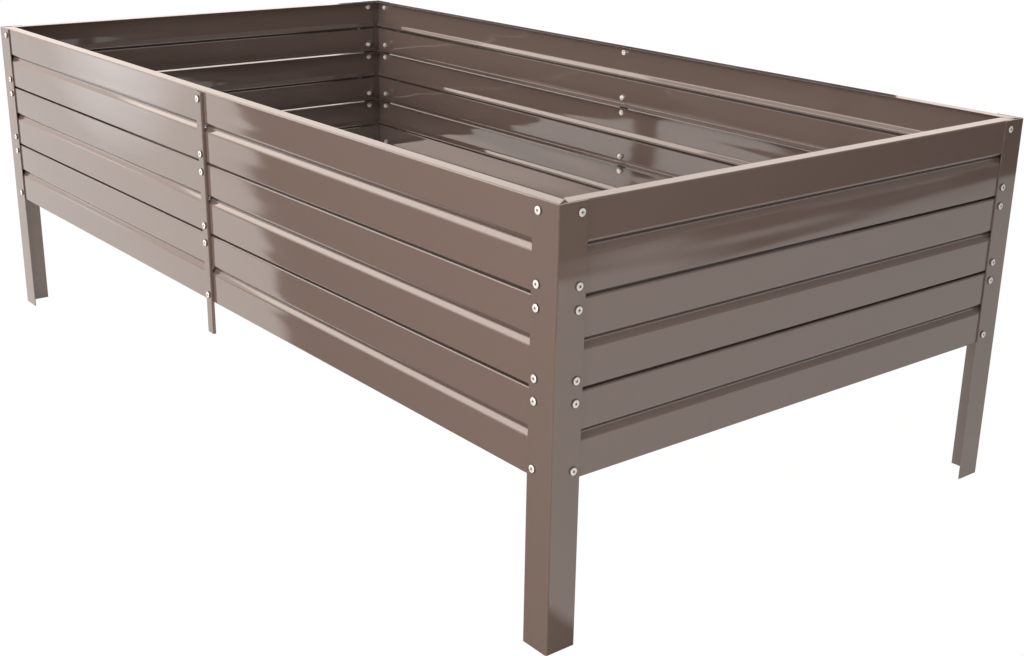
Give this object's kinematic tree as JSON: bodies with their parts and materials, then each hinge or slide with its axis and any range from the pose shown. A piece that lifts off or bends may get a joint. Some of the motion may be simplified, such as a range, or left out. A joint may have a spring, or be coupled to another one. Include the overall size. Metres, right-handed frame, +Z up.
{
  "type": "raised garden bed",
  "caption": "Rectangular raised garden bed on tall angle legs, with tiers of grooved folded-steel panels, centre posts and bolted joints.",
  "frame": {"origin": "on the ground under the middle of the bed", "axes": "+X along the long sides, +Y along the short ends, +Z up"},
  "size_m": [1.8058, 0.9512, 0.6],
  "materials": {
    "coated_panel": "semi-gloss taupe powder coat",
    "coated_frame": "semi-gloss taupe powder coat",
    "zinc_hardware": "bright zinc plate"
  },
  "bodies": {
    "root": {"back_bolt_left_1": "zinc_hardware", "back_bolt_left_2": "zinc_hardware", "back_bolt_left_3": "zinc_hardware", "back_bolt_left_4": "zinc_hardware", "back_bolt_left_5": "zinc_hardware", "back_bolt_right_1": "zinc_hardware", "back_bolt_right_2": "zinc_hardware", "back_bolt_right_3": "zinc_hardware", "back_bolt_right_4": "zinc_hardware", "back_bolt_right_5": "zinc_hardware", "back_centre_post": "coated_frame", "back_panel_1": "coated_panel", "back_panel_2": "coated_panel", "back_panel_3": "coated_panel", "front_bolt_left_1": "zinc_hardware", "front_bolt_left_2": "zinc_hardware", "front_bolt_left_3": "zinc_hardware", "front_bolt_left_4": "zinc_hardware", "front_bolt_left_5": "zinc_hardware", "front_bolt_right_1": "zinc_hardware", "front_bolt_right_2": "zinc_hardware", "front_bolt_right_3": "zinc_hardware", "front_bolt_right_4": "zinc_hardware", "front_bolt_right_5": "zinc_hardware", "front_centre_post": "coated_frame", "front_panel_1": "coated_panel", "front_panel_2": "coated_panel", "front_panel_3": "coated_panel", "left_end_bolt_left_1": "zinc_hardware", "left_end_bolt_left_2": "zinc_hardware", "left_end_bolt_left_3": "zinc_hardware", "left_end_bolt_left_4": "zinc_hardware", "left_end_bolt_left_5": "zinc_hardware", "left_end_bolt_right_1": "zinc_hardware", "left_end_bolt_right_2": "zinc_hardware", "left_end_bolt_right_3": "zinc_hardware", "left_end_bolt_right_4": "zinc_hardware", "left_end_bolt_right_5": "zinc_hardware", "left_end_panel_1": "coated_panel", "left_end_panel_2": "coated_panel", "left_end_panel_3": "coated_panel", "leg_back_left": "coated_frame", "leg_back_right": "coated_frame", "leg_front_left": "coated_frame", "leg_front_right": "coated_frame", "right_end_bolt_left_1": "zinc_hardware", "right_end_bolt_left_2": "zinc_hardware", "right_end_bolt_left_3": "zinc_hardware", "right_end_bolt_left_4": "zinc_hardware", "right_end_bolt_left_5": "zinc_hardware", "right_end_bolt_right_1": "zinc_hardware", "right_end_bolt_right_2": "zinc_hardware", "right_end_bolt_right_3": "zinc_hardware", "right_end_bolt_right_4": "zinc_hardware", "right_end_bolt_right_5": "zinc_hardware", "right_end_panel_1": "coated_panel", "right_end_panel_2": "coated_panel", "right_end_panel_3": "coated_panel"}
  },
  "joints": []
}
